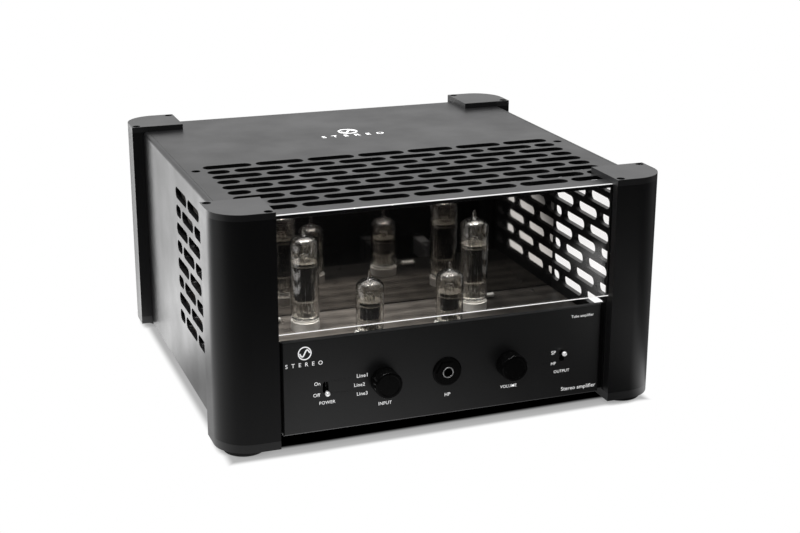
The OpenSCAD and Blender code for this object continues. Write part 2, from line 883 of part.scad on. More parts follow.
// Laminated core of width w: a 6:5 frame with two windows, on a foot plate.
module transformer_core(w, stack) {
    foot_t = 2;
    color(dull_metal) difference() {
        union() {
            translate([-w / 2, -stack / 2, foot_t - 0.01]) cube([w, stack, w * 5 / 6]);
            translate([-w / 2 - 8, -stack / 2, 0]) cube([w + 16, stack, foot_t]);
        }
        for (side = [-1, 1])
            translate([side * w / 4, 0, foot_t + w * 5 / 12])
                cube([w / 6, stack + 2 * eps, w / 2], center = true);
        for (side = [-1, 1])
            translate([side * (w / 2 + 4), 0, -eps]) cylinder(d = 4.2, h = foot_t + 2 * eps);
    }
}

// The winding fills the windows and bulges out in front of and behind the core.
module transformer_winding(w, stack) {
    bulge = w / 7;
    gap = 0.3;
    color(copper_tape) translate([0, 0, 2 + w * 5 / 12]) difference() {
        cube([w * 2 / 3 - 2 * gap, stack + 2 * bulge, w / 2 - 2 * gap], center = true);
        cube([w / 3 + 2 * gap, stack + 2 * gap, w / 2], center = true);
    }
}

module power_transformer_core() {
    translate([0, transformer_y, floor_z]) transformer_core(power_core_w, power_core_stack);
}

module power_transformer_winding() {
    translate([0, transformer_y, floor_z]) transformer_winding(power_core_w, power_core_stack);
}

module output_transformer_cores() {
    for (side = [-1, 1])
        translate([side * output_transformer_x, transformer_y, floor_z])
            transformer_core(output_core_w, output_core_stack);
}

module output_transformer_windings() {
    for (side = [-1, 1])
        translate([side * output_transformer_x, transformer_y, floor_z])
            transformer_winding(output_core_w, output_core_stack);
}

module power_board() {
    color(board_green) difference() {
        translate([-board_half_w, board_y[0], board_z])
            cube([2 * board_half_w, board_y[1] - board_y[0], deck_t]);
        for (p = board_post_points)
            translate([p.x, p.y, board_z - eps])
                cylinder(d = screw_d + 2 * thread_slack, h = deck_t + 2 * eps);
    }
}

module filter_capacitors() {
    color([0.1, 0.13, 0.3])
        for (i = [-1.5 : 1 : 1.5])
            translate([i * 26, (board_y[0] + board_y[1]) / 2, board_z + deck_t])
                rotate_extrude()
                    polygon([[0, 0], [10.5, 0], [11, 0.5], [11, 38.5], [10, 40], [0, 40]]);
}

// ---- rear connectors ----

// Mains inlet: a flanged body with a plug recess, three pins and a slot for the fuse drawer.
module power_inlet() {
    depth = 22;
    flange_t = 2.5;
    color(black_steel) {
        difference() {
            union() {
                translate([inlet_x - 15, rear_face_y, inlet_z - 20]) cube([30, flange_t, 40]);
                translate([inlet_x - 13.5, rear_face_y - depth, inlet_z - 18.5])
                    cube([27, depth + 0.01, 37]);
            }
            translate([inlet_x - 12, rear_face_y - 14, inlet_z - 15])
                cube([24, 14 + flange_t + eps, 17]);
            translate([inlet_x - drawer_w / 2 - drawer_slack, rear_face_y - 19,
                drawer_z - drawer_h / 2 - drawer_slack])
                cube([drawer_w + 2 * drawer_slack, 19 + flange_t + eps, drawer_h + 2 * drawer_slack]);
        }
        for (p = [[-7, -8.5], [0, -4.5], [7, -8.5]])
            translate([inlet_x + p.x - 1, rear_face_y - 14.01, inlet_z + p.y - 2]) cube([2, 13, 4]);
    }
}

// The drawer carries two fuses in open troughs, and has a lip to pull it by.
module fuse_drawer() {
    face_y = rear_face_y + 2.5;
    color(black_gloss) difference() {
        union() {
            translate([inlet_x - drawer_w / 2, face_y - 21, drawer_z - drawer_h / 2])
                cube([drawer_w, 21, drawer_h]);
            translate([inlet_x - 5, face_y - 0.01, drawer_z - 1]) cube([10, 2, 2]);
        }
        for (side = [-1, 1])
            translate([inlet_x + side * 5 - 3, face_y - 23, drawer_z - 1.5]) cube([6, 20, 6]);
    }
}

// A line socket, drawn along +Z with the panel's outer face at 0.
module line_socket() {
    rotate_extrude($fn = 48)
        polygon([[1.6, 0], [1.6, 11], [3.2, 11], [3.2, 11.5], [4.15, 11.5], [4.15, 2], [6, 2], [6, 0],
            [4.1, 0], [4.1, -subpanel_t], [5.5, -subpanel_t], [5.5, -8], [0, -8], [0, 0]]);
}

module line_input_sockets() {
    color(bright_metal)
        for (x = line_xs, z = line_zs)
            facing_rear(x, rear_face_y, z) line_socket();
}

// A speaker terminal's fixed part: an insulating collar, and a stud bored for a banana plug.
module speaker_terminal() {
    bore_len = 15;
    difference() {
        union() {
            cylinder(r = 7.5, h = 3);
            translate([0, 0, -subpanel_t]) cylinder(r = 4.5, h = subpanel_t + 0.01);
            translate([0, 0, -subpanel_t - 2]) cylinder(r = 6.5, h = 2);
            translate([0, 0, -subpanel_t - 10]) cylinder(r = 2, h = 9);
            cylinder(r = stud_r, h = terminal_reach);
        }
        translate([0, 0, terminal_reach - bore_len]) cylinder(r = banana_r, h = bore_len + eps);
    }
}

module speaker_terminals() {
    color(bright_metal)
        for (x = terminal_xs)
            facing_rear(x, rear_face_y, terminal_z) speaker_terminal();
}

// A fluted nut that turns on a terminal's stud.
module speaker_nut(index, tint) {
    nut_r = 7;
    nut_h = 12;
    flutes = 12;
    color(tint) facing_rear(terminal_xs[index], rear_face_y + 4.5, terminal_z) difference() {
        rotate_extrude()
            polygon([[stud_r + thread_slack, 0], [nut_r - 0.5, 0], [nut_r, 0.5], [nut_r, nut_h - 1],
                [nut_r - 1, nut_h], [stud_r + thread_slack, nut_h]]);
        for (i = [0 : flutes - 1])
            rotate([0, 0, i * 360 / flutes]) translate([nut_r + 0.6, 0, 2])
                cylinder(r = 1.1, h = nut_h, $fn = 24);
    }
}

module speaker_nut_1() {
    speaker_nut(0, red_plastic);
}

module speaker_nut_2() {
    speaker_nut(1, black_gloss);
}

module speaker_nut_3() {
    speaker_nut(2, red_plastic);
}

module speaker_nut_4() {
    speaker_nut(3, black_gloss);
}

// ---- assembly ----

at_corner(-1, -1) post();  // front_left_post
at_corner(1, -1) post();  // front_right_post
at_corner(-1, 1) post();  // rear_left_post
at_corner(1, 1) post();  // rear_right_post
at_corner(-1, -1) top_cap();  // front_left_top_cap
at_corner(1, -1) top_cap();  // front_right_top_cap
at_corner(-1, 1) top_cap();  // rear_left_top_cap
at_corner(1, 1) top_cap();  // rear_right_top_cap
bottom_caps();
cap_screws();
feet();
foot_screws();
top_plate();
top_plate_screws();
top_rails();
left_side_panel();
right_side_panel();
rear_panel();
bottom_plate();
front_panel();
front_subpanel();
window_pane();
window_supports();
partition();
tube_deck();
standoffs();
tube_sockets();
left_power_tube_glass();
right_power_tube_glass();
left_preamp_tube_glass();
right_preamp_tube_glass();
power_tube_electrodes();
preamp_tube_electrodes();
input_knob();
input_shaft();
input_switch();
volume_knob();
volume_shaft();
volume_potentiometer();
control_nuts();
power_toggle_lever();
power_toggle_switch();
output_toggle_lever();
output_toggle_switch();
headphone_jack();
headphone_nut();
power_transformer_core();
power_transformer_winding();
output_transformer_cores();
output_transformer_windings();
power_board();
filter_capacitors();
power_inlet();
fuse_drawer();
line_input_sockets();
speaker_terminals();
speaker_nut_1();
speaker_nut_2();
speaker_nut_3();
speaker_nut_4();
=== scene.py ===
"""Looks for the tube amplifier: finishes, the tubes' insides, small parts, printing, studio and camera."""

import math

import bmesh
import bpy
from mathutils import Matrix, Vector

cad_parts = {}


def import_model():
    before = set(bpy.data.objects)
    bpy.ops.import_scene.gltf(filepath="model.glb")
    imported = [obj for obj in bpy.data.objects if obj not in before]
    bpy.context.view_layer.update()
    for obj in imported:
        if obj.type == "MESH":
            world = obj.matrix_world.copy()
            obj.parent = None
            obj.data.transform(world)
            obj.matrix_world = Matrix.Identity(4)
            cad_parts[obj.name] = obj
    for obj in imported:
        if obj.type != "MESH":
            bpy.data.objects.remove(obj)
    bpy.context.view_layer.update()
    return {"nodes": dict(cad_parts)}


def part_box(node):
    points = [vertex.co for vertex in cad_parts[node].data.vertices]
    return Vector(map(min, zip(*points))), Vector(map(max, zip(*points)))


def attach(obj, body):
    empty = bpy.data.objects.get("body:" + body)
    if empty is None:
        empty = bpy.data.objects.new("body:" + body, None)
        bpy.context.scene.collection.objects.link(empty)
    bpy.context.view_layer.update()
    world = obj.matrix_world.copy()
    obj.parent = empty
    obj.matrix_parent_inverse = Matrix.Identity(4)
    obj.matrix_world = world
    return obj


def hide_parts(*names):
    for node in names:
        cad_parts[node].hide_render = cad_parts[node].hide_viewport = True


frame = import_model()
NODES = frame["nodes"]

MM = 0.001
collection = bpy.context.scene.collection


# ---- materials ----

class Graph:
    """A material built from nodes, round one Principled shader."""

    def __init__(self, name):
        self.material = bpy.data.materials.new(name)
        self.material.use_nodes = True
        self.tree = self.material.node_tree
        self.shader = self.tree.nodes["Principled BSDF"]
        self.output = self.tree.nodes["Material Output"]
        self.place = self.node("ShaderNodeTexCoord").outputs["Object"]

    def node(self, kind, settings=None, **inputs):
        made = self.tree.nodes.new(kind)
        for key, value in (settings or {}).items():
            setattr(made, key, value)
        for key, value in inputs.items():
            self.feed(made.inputs[key.replace("_", " ")], value)
        return made

    def feed(self, socket, value):
        """Sets a socket, or links it when the value is another node's output."""
        if isinstance(value, bpy.types.NodeSocket):
            self.tree.links.new(value, socket)
        else:
            socket.default_value = value

    def set(self, **inputs):
        for key, value in inputs.items():
            self.feed(self.shader.inputs[key.replace("_", " ")], value)

    def noise(self, scale, detail=2.0, stretch=None):
        place = self.place
        if stretch:
            place = self.node("ShaderNodeMapping", Vector=place, Scale=stretch).outputs["Vector"]
        return self.node("ShaderNodeTexNoise", Vector=place, Scale=scale, Detail=detail).outputs["Fac"]

    def axis(self, letter):
        """The position along one axis, in metres."""
        return self.node("ShaderNodeSeparateXYZ", Vector=self.place).outputs[letter]

    def math(self, operation, a, b=0.0):
        made = self.node("ShaderNodeMath", {"operation": operation})
        self.feed(made.inputs[0], a)
        self.feed(made.inputs[1], b)
        return made.outputs["Value"]

    def add(self, first, *others):
        for other in others:
            first = self.math("ADD", first, other)
        return first

    def multiply(self, first, *others):
        for other in others:
            first = self.math("MULTIPLY", first, other)
        return first

    def spread(self, value, low, high, start=0.0, end=1.0):
        """Maps start..end of a value onto low..high."""
        made = self.node("ShaderNodeMapRange", Value=value)
        made.inputs["From Min"].default_value = start
        made.inputs["From Max"].default_value = end
        made.inputs["To Min"].default_value = low
        made.inputs["To Max"].default_value = high
        return made.outputs["Result"]

    def ramp(self, value, *points):
        """A smooth curve through (value, result) points, built from map ranges that are added up."""
        total = points[0][1]
        for (start, low), (end, high) in zip(points, points[1:]):
            step = self.node("ShaderNodeMapRange", {"interpolation_type": "SMOOTHSTEP"}, Value=value)
            step.inputs["From Min"].default_value = start
            step.inputs["From Max"].default_value = end
            step.inputs["To Min"].default_value = 0.0
            step.inputs["To Max"].default_value = high - low
            total = self.add(step.outputs["Result"], total)
        return total

    def mix(self, factor, a, b):
        made = self.node("ShaderNodeMix", {"data_type": "RGBA"})
        self.feed(made.inputs["Factor"], factor)
        self.feed(made.inputs[6], a)
        self.feed(made.inputs[7], b)
        return made.outputs[2]

    def bump(self, height, distance, strength=1.0):
        made = self.node("ShaderNodeBump", Height=height, Distance=distance, Strength=strength)
        return made.outputs["Normal"]

    def facing(self):
        """0 where the surface faces the viewer, 1 at its edge."""
        return self.node("ShaderNodeLayerWeight", Blend=0.5).outputs["Facing"]


def rgb(red, green, blue):
    return (red, green, blue, 1.0)


def satin_black(name, colour, rough, front, edge, grain=0.012):
    """Blasted and anodised black: dull where it faces the viewer, with a sheen at a shallow angle."""
    g = Graph(name)
    speckle = g.noise(3200.0, 3.0)
    smudge = g.noise(26.0, 4.0)
    tone = g.mix(g.spread(speckle, 0.0, 1.0, 0.35, 0.65), rgb(*[c * 0.7 for c in colour]),
                 rgb(*[c * 1.3 for c in colour]))
    roughness = g.add(g.spread(speckle, rough - 0.05, rough + 0.05), g.spread(smudge, -0.05, 0.05, 0.3, 0.7))
    g.set(Base_Color=tone, Roughness=roughness, Normal=g.bump(speckle, grain * MM, 0.6))
    g.set(Specular_IOR_Level=g.spread(g.facing(), front, edge, 0.12, 0.68))
    return g.material


def gloss_black(name, colour, rough, level):
    g = Graph(name)
    haze = g.noise(60.0, 5.0)
    dust = g.noise(5200.0, 1.0)
    g.set(Base_Color=g.mix(g.spread(dust, 0.0, 1.0, 0.72, 0.8), rgb(*colour), rgb(0.06, 0.06, 0.06)))
    g.set(Roughness=g.spread(haze, rough * 0.7, rough * 1.4, 0.3, 0.7), Specular_IOR_Level=level)
    return g.material


def metal(name, colour, rough, grain=900.0, bump=0.004):
    g = Graph(name)
    fine = g.noise(grain, 3.0)
    tone = g.mix(fine, rgb(*[c * 0.86 for c in colour]), rgb(*colour))
    g.set(Base_Color=tone, Metallic=1.0, Roughness=g.spread(fine, rough * 0.8, rough * 1.25, 0.3, 0.7))
    g.set(Normal=g.bump(fine, bump * MM, 0.5))
    return g.material


def plastic(name, colour, rough, level=0.5, grain=1400.0):
    g = Graph(name)
    fine = g.noise(grain, 2.0)
    g.set(Base_Color=g.mix(fine, rgb(*[c * 0.8 for c in colour]), rgb(*[min(c * 1.15, 1.0) for c in colour])))
    g.set(Roughness=g.spread(fine, rough - 0.06, rough + 0.06), Specular_IOR_Level=level)
    g.set(Normal=g.bump(fine, 0.01 * MM, 0.5))
    return g.material


def lamp_lets_through(g, shader):
    """Glass that lets lamps light what is behind it: it is clear to shadow rays."""
    path = g.node("ShaderNodeLightPath").outputs["Is Shadow Ray"]
    clear = g.node("ShaderNodeBsdfTransparent", Color=rgb(0.92, 0.92, 0.92)).outputs["BSDF"]
    made = g.node("ShaderNodeMixShader")
    g.feed(made.inputs[0], path)
    g.feed(made.inputs[1], shader)
    g.feed(made.inputs[2], clear)
    g.feed(g.output.inputs["Surface"], made.outputs["Shader"])


def bulb_glass():
    g = Graph("bulb_glass")
    ripple = g.noise(90.0, 2.0)
    g.set(Base_Color=rgb(0.97, 0.95, 0.91), Transmission_Weight=1.0, Roughness=0.0, IOR=1.45)
    g.set(Coat_Weight=1.0, Coat_Roughness=0.09, Coat_IOR=2.0, Normal=g.bump(ripple, 0.15 * MM, 0.35))
    lamp_lets_through(g, g.shader.outputs["BSDF"])
    return g.material


def window_glass():
    """Clear faces, with top and bottom edges that glow as painted light, brighter along the bottom."""
    g = Graph("window_glass")
    smear = g.noise(18.0, 4.0)
    g.set(Base_Color=rgb(0.97, 0.955, 0.94), Transmission_Weight=1.0, IOR=1.5)
    g.set(Roughness=g.spread(smear, 0.0, 0.012, 0.45, 0.8))
    up = g.node("ShaderNodeSeparateXYZ", Vector=g.node("ShaderNodeNewGeometry").outputs["True Normal"])
    edge = g.math("GREATER_THAN", g.math("ABSOLUTE", up.outputs["Z"]), 0.9)
    # The top and bottom edges: a pale rough shader with a painted glow.
    edge_painted_glow = g.node("ShaderNodeBsdfPrincipled")
    g.feed(edge_painted_glow.inputs["Base Color"], rgb(0.2, 0.2, 0.2))
    g.feed(edge_painted_glow.inputs["Roughness"], 0.3)
    g.feed(edge_painted_glow.inputs["Emission Color"], rgb(1.0, 1.0, 1.0))
    g.feed(edge_painted_glow.inputs["Emission Strength"], g.spread(g.axis("Z"), 0.95, 0.4, 0.1, 0.14))
    both = g.node("ShaderNodeMixShader")
    g.feed(both.inputs[0], edge)
    g.feed(both.inputs[1], g.shader.outputs["BSDF"])
    g.feed(both.inputs[2], edge_painted_glow.outputs["BSDF"])
    lamp_lets_through(g, both.outputs["Shader"])
    return g.material


def laminated_steel():
    """Edges of thin laminations, stacked along Y."""
    g = Graph("core_steel")
    lines = g.node("ShaderNodeTexWave", {"bands_direction": "Y"}, Vector=g.place, Scale=320.0, Distortion=0.6)
    band = lines.outputs["Fac"]
    rust = g.noise(120.0, 4.0)
    tone = g.mix(band, rgb(0.03, 0.03, 0.032), rgb(0.1, 0.1, 0.105))
    g.set(Base_Color=g.mix(g.spread(rust, 0.0, 0.5, 0.55, 0.8), tone, rgb(0.11, 0.07, 0.045)))
    g.set(Metallic=0.6, Roughness=0.5, Normal=g.bump(band, 0.08 * MM))
    return g.material


def winding_tape():
    g = Graph("winding_tape")
    wrap = g.node("ShaderNodeTexWave", {"bands_direction": "Z"}, Vector=g.place, Scale=70.0, Distortion=0.4)
    crinkle = g.noise(260.0, 4.0)
    tone = g.mix(wrap.outputs["Fac"], rgb(0.42, 0.2, 0.035), rgb(0.62, 0.34, 0.08))
    g.set(Base_Color=tone, Roughness=g.spread(crinkle, 0.25, 0.5, 0.3, 0.7), Coat_Weight=0.3)
    g.set(Normal=g.bump(crinkle, 0.2 * MM, 0.7))
    return g.material


def circuit_board():
    g = Graph("circuit_board")
    tracks = g.node("ShaderNodeTexBrick", Vector=g.place, Scale=110.0, Mortar_Size=0.09)
    g.set(Base_Color=g.mix(tracks.outputs["Fac"], rgb(0.01, 0.05, 0.025), rgb(0.03, 0.14, 0.07)))
    g.set(Roughness=0.35, Normal=g.bump(tracks.outputs["Fac"], 0.04 * MM))
    return g.material


def capacitor_sleeve():
    """Shrink sleeve with a pale stripe down one side."""
    g = Graph("capacitor_sleeve")
    stripe = g.math("GREATER_THAN", g.axis("Y"), 0.1305)
    wrinkle = g.noise(500.0, 3.0)
    g.set(Base_Color=g.mix(stripe, rgb(0.012, 0.02, 0.06), rgb(0.3, 0.32, 0.36)))
    g.set(Roughness=g.spread(wrinkle, 0.28, 0.42, 0.3, 0.7), Normal=g.bump(wrinkle, 0.03 * MM))
    return g.material


def rubber_foot():
    g = Graph("rubber")
    fine = g.noise(1800.0, 3.0)
    g.set(Base_Color=g.mix(fine, rgb(0.006, 0.006, 0.006), rgb(0.018, 0.018, 0.018)))
    g.set(Roughness=g.spread(fine, 0.75, 0.95), Specular_IOR_Level=0.25, Normal=g.bump(fine, 0.05 * MM))
    return g.material


def mica_sheet():
    g = Graph("mica")
    cloud = g.noise(300.0, 4.0)
    g.set(Base_Color=g.mix(cloud, rgb(0.34, 0.31, 0.26), rgb(0.5, 0.47, 0.42)), Roughness=0.25)
    g.set(Transmission_Weight=0.35, Coat_Weight=0.4)
    return g.material


def getter_mirror():
    """Silver film inside the dome, its tone clouded between brownish and bright silver."""
    g = Graph("getter")
    cloud = g.noise(240.0, 4.0)
    g.set(Base_Color=g.mix(g.spread(cloud, 0.0, 1.0, 0.3, 0.7), rgb(0.42, 0.4, 0.38), rgb(0.82, 0.81, 0.8)))
    g.set(Metallic=1.0, Roughness=g.spread(cloud, 0.1, 0.28, 0.3, 0.7))
    return g.material


def deck_sheet():
    """Brownish satin sheet under the tubes, with painted shade: darker towards the right and the front, and a
    streaky tone that varies at random.
    """
    g = Graph("deck_sheet")
    cloud = g.noise(45.0, 3.0, (1.0, 5.0, 1.0))
    # Painted shade: the sheet is darkened towards the right and towards the front, and the noise adds uneven
    # tone.
    painted_shade_and_tone = g.multiply(g.spread(g.axis("X"), 1.15, 0.16, -0.05, 0.09),
                       g.spread(g.axis("Y"), 0.1, 1.0, -0.078, -0.066), g.spread(cloud, 0.8, 1.2, 0.3, 0.7))
    g.set(Base_Color=g.mix(painted_shade_and_tone, rgb(0.0, 0.0, 0.0), rgb(0.16, 0.143, 0.125)), Roughness=0.4)
    g.set(Specular_IOR_Level=0.3)
    return g.material


def lever_painted_light():
    """Toggle lever of satin chrome, with painted light: the tip is painted bright and glows as a painted
    highlight, and the stalk is painted dark as painted shade where it leaves the panel.
    """
    g = Graph("satin_chrome")
    # Painted light: a bright, glowing tip and a dark stalk, set by the distance from the panel.
    tip = g.spread(g.axis("Y"), 1.0, 0.0, -0.1556, -0.1550)
    g.set(Base_Color=g.mix(tip, rgb(0.02, 0.02, 0.02), rgb(0.9, 0.9, 0.9)), Metallic=1.0, Roughness=0.38)
    g.set(Emission_Color=rgb(1.0, 1.0, 1.0), Emission_Strength=g.multiply(tip, 0.3))
    return g.material


def white_ink():
    g = Graph("white_ink")
    fine = g.noise(2500.0, 2.0)
    g.set(Base_Color=g.mix(fine, rgb(0.72, 0.72, 0.72), rgb(0.92, 0.92, 0.92)), Roughness=0.55)
    # The ink glows a little as painted light, so the print stays bright where no lamp reaches it.
    g.set(Emission_Color=rgb(1.0, 1.0, 1.0), Emission_Strength=0.5)
    return g.material


BLACK = satin_black("black_anodised", (0.005, 0.005, 0.0053), 0.34, 0.14, 0.46)
PANEL_BLACK = satin_black("panel_anodised", (0.008, 0.008, 0.0083), 0.36, 0.38, 0.5)
CAP_BLACK = satin_black("cap_anodised", (0.009, 0.009, 0.0095), 0.4, 0.3, 0.8)
STEEL_BLACK = satin_black("steel_paint", (0.008, 0.008, 0.008), 0.45, 0.2, 0.5, 0.03)
GLOSS = gloss_black("gloss_black", (0.0015, 0.0015, 0.0015), 0.12, 0.07)
MIRROR_BLACK = metal("mirror_black", (0.4, 0.385, 0.37), 0.045, 300.0, 0.0005)
# Screws in flat black without shine: black oxide, darkened further as painted shade so their heads look like
# dark holes.
SCREW_BLACK_PAINTED_SHADE = plastic("black_oxide_painted_shade", (0.0015, 0.0015, 0.0015), 0.8, 0.0)
DARK_CASE = plastic("dark_case", (0.01, 0.01, 0.01), 0.5, 0.3)
DECK = deck_sheet()
PANE = window_glass()
BULB = bulb_glass()
BRIGHT = metal("bright_metal", (0.8, 0.8, 0.8), 0.2)
ZINC = metal("zinc", (0.5, 0.5, 0.5), 0.42)
PLATE = metal("tube_plate", (0.07, 0.066, 0.062), 0.5)
WIRE = metal("tube_wire", (0.6, 0.58, 0.55), 0.3)
CERAMIC = plastic("ceramic", (0.82, 0.8, 0.75), 0.35)
CHROME = lever_painted_light()
RED = plastic("red_plastic", (0.45, 0.012, 0.012), 0.3)
BLACK_PLASTIC = plastic("black_plastic", (0.012, 0.012, 0.012), 0.35)
CORE = laminated_steel()
TAPE = winding_tape()
BOARD = circuit_board()
SLEEVE = capacitor_sleeve()
RUBBER = rubber_foot()
MICA = mica_sheet()
GETTER = getter_mirror()
INK = white_ink()


# ---- the CAD nodes ----

# Material and width of the softened edges, in mm, for each CAD node that is shown.
FINISH = {
    BLACK: (0.12, ["front_left_post", "front_right_post", "rear_left_post", "rear_right_post",
                  "left_side_panel", "right_side_panel", "rear_panel", "top_plate"]),
    PANEL_BLACK: (0.25, ["front_panel"]),
    CAP_BLACK: (0.0, ["front_left_top_cap", "front_right_top_cap", "rear_left_top_cap",
                      "rear_right_top_cap", "bottom_caps"]),
    STEEL_BLACK: (0.15, ["top_rails", "bottom_plate", "front_subpanel", "window_supports", "power_inlet"]),
    SCREW_BLACK_PAINTED_SHADE: (0.0, ["cap_screws", "top_plate_screws"]),
    DARK_CASE: (0.2, ["input_switch", "volume_potentiometer"]),
    GLOSS: (0.15, ["headphone_nut", "headphone_jack", "fuse_drawer", "input_knob", "volume_knob"]),
    MIRROR_BLACK: (0.2, ["partition"]),
    DECK: (0.2, ["tube_deck"]),
    PANE: (0.3, ["window_pane"]),
    BULB: (0.0, ["left_power_tube_glass", "right_power_tube_glass", "left_preamp_tube_glass",
                 "right_preamp_tube_glass"]),
    CERAMIC: (0.3, ["tube_sockets"]),
    BRIGHT: (0.1, ["standoffs", "input_shaft", "volume_shaft", "control_nuts", "line_input_sockets",
                   "speaker_terminals"]),
    CHROME: (0.0, ["power_toggle_lever", "output_toggle_lever"]),
    ZINC: (0.2, ["foot_screws", "power_toggle_switch", "output_toggle_switch"]),
    CORE: (0.4, ["power_transformer_core", "output_transformer_cores"]),
    TAPE: (1.5, ["power_transformer_winding", "output_transformer_windings"]),
    BOARD: (0.1, ["power_board"]),
    SLEEVE: (0.3, ["filter_capacitors"]),
    RUBBER: (0.5, ["feet"]),
    RED: (0.2, ["speaker_nut_1", "speaker_nut_3"]),
    BLACK_PLASTIC: (0.2, ["speaker_nut_2", "speaker_nut_4"]),
}


SEAM = 0.002            # corners closer than this, in mm, are joined
SMOOTH_BELOW = 28       # degrees between two faces that are shaded as one
BEVEL_ABOVE = 40        # degrees between two faces whose edge is rounded
SHARP_ABOVE = 35        # degrees between two faces of an added piece that keep their edge


def smooth_group():
    """Geometry nodes that join split corners and shade round faces smooth, with sharp edges kept."""
    group = bpy.data.node_groups.new("smooth_faces", "GeometryNodeTree")
    group.interface.new_socket("Geometry", in_out="INPUT", socket_type="NodeSocketGeometry")
    group.interface.new_socket("Geometry", in_out="OUTPUT", socket_type="NodeSocketGeometry")
    make, link = group.nodes.new, group.links.new
    merge = make("GeometryNodeMergeByDistance")
    merge.inputs["Distance"].default_value = SEAM * MM
    forget = make("GeometryNodeRemoveAttribute")
    forget.inputs["Name"].default_value = "custom_normal"
    faces = make("GeometryNodeSetShadeSmooth")
    edges = make("GeometryNodeSetShadeSmooth")
    edges.domain = "EDGE"
    angle = make("GeometryNodeInputMeshEdgeAngle")
    shallow = make("FunctionNodeCompare")
    shallow.operation = "LESS_THAN"
    shallow.inputs[1].default_value = math.radians(SMOOTH_BELOW)
    steps = [make("NodeGroupInput"), merge, forget, faces, edges, make("NodeGroupOutput")]
    for a, b in zip(steps, steps[1:]):
        link(a.outputs[0], b.inputs[0])
    link(angle.outputs["Unsigned Angle"], shallow.inputs[0])
    link(shallow.outputs[0], edges.inputs["Shade Smooth"])
    return group


SMOOTH = smooth_group()


def soften(node, width):
    """Shades a CAD node smooth and rounds its sharp edges slightly."""
    smooth = node.modifiers.new("smooth", "NODES")
    smooth.node_group = SMOOTH
    if width:
        bevel = node.modifiers.new("bevel", "BEVEL")
        bevel.width = width * MM
        bevel.segments = 2
        bevel.limit_method = "ANGLE"
        bevel.angle_limit = math.radians(BEVEL_ABOVE)
        bevel.use_clamp_overlap = True
        bevel.harden_normals = True


def finish_nodes():
    for material, (width, names) in FINISH.items():
        for name in names:
            node = NODES[name]
            node.data.materials.clear()
            node.data.materials.append(material)
            soften(node, width)


finish_nodes()


# ---- shapes for the added pieces, drawn in mm ----

def span(node):
    """Lowest and highest corner of a node, and the middle of its box, in mm."""
    low, high = (Vector(corner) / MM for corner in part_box(node))
    return low, high, (low + high) / 2


def circle(radius, steps):
    turns = (2 * math.pi * i / steps for i in range(steps))
    return [(radius * math.cos(t), radius * math.sin(t)) for t in turns]


def join_rings(bm, a, b):
    """Faces between two rings of corners. A ring with one corner is a point on the axis."""
    count = max(len(a), len(b))
    for i in range(count):
        j = (i + 1) % count
        corners = [a[i % len(a)], a[j % len(a)], b[j % len(b)], b[i % len(b)]]
        bm.faces.new(list(dict.fromkeys(corners)))


def lathe(bm, outline, place=(0, 0, 0), steps=64, closed=False):
    """Turns an outline of (radius, height) points round Z."""
    rings = []
    for radius, height in outline:
        ring = circle(radius, steps) if radius else [(0.0, 0.0)]
        rings.append([bm.verts.new((place[0] + x, place[1] + y, place[2] + height)) for x, y in ring])
    for a, b in zip(rings, rings[1:] + rings[:1] if closed else rings[1:]):
        join_rings(bm, a, b)


def lathe_at(bm, outline, where, closed=False):
    """A lathed part that is turned and moved to its place by a matrix."""
    start = len(bm.verts)
    lathe(bm, outline, steps=32, closed=closed)
    bm.verts.ensure_lookup_table()
    bmesh.ops.transform(bm, matrix=where, verts=bm.verts[start:])


def loft(bm, outline, levels, place):
    """Stacks a flat outline at (height, scale) levels and closes both ends."""
    rings = []
    for height, scale in levels:
        rings.append([bm.verts.new((place[0] + x * scale, place[1] + y * scale, place[2] + height))
                      for x, y in outline])
    for a, b in zip(rings, rings[1:]):
        join_rings(bm, a, b)
    bm.faces.new(rings[0])
    bm.faces.new(rings[-1])


def sweep(bm, path, section, normal=None, loop=False):
    """Moves a section along a path. With a normal given, the section's second axis stays along it."""
    points = [Vector(p) for p in path]
    last = len(points) - 1
    rings = []
    side = None
    for i, point in enumerate(points):
        before = points[i - 1] if i or loop else point
        after = points[(i + 1) % len(points)] if i < last or loop else point
        along = (after - before).normalized()
        if normal:
            side = along.cross(Vector(normal))
        else:
            side = side or along.orthogonal()
            side = (side - along * side.dot(along)).normalized()
        up = side.cross(along)
        rings.append([bm.verts.new(point + side * a + up * b) for a, b in section])
    for a, b in zip(rings, rings[1:] + rings[:1] if loop else rings[1:]):
        join_rings(bm, a, b)
    if not loop:
        bm.faces.new(rings[0])
        bm.faces.new(rings[-1])


def block(bm, size, place, edge):
    """A box with rounded edges, centred on a place."""
    where = Matrix.Translation(place) @ Matrix.Diagonal((*size, 1.0))
    made = bmesh.ops.create_cube(bm, size=1.0, matrix=where)
    edges = list({e for v in made["verts"] for e in v.link_edges})
    bmesh.ops.bevel(bm, geom=edges, offset=edge, segments=2, profile=0.5, affect="EDGES")


def add_piece(name, bm, material, place=None):
    """Makes a bmesh, drawn in mm, into a piece of the chassis."""
    bmesh.ops.recalc_face_normals(bm, faces=bm.faces)
    mesh = bpy.data.meshes.new(name)
    bm.to_mesh(mesh)
    bm.free()
    return add_mesh(name, mesh, material, place or Matrix())


def add_mesh(name, mesh, material, place):
    mesh.transform(Matrix.Scale(MM, 4) @ place)
    mesh.shade_smooth()
    mesh.set_sharp_from_angle(angle=math.radians(SHARP_ABOVE))
    mesh.materials.clear()
    mesh.materials.append(material)
    piece = bpy.data.objects.new(name, mesh)
    collection.objects.link(piece)
    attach(piece, "chassis")
    return piece


# ---- inside the tubes ----

PIN_R = 0.5
PIN_CIRCLE_R = 5.95
GLASS_T = 1.0
DOME_H = 6.8    # from the shoulder of a bulb to the top of its dome
TIP_H = 13.0    # from the shoulder to the end of the tip


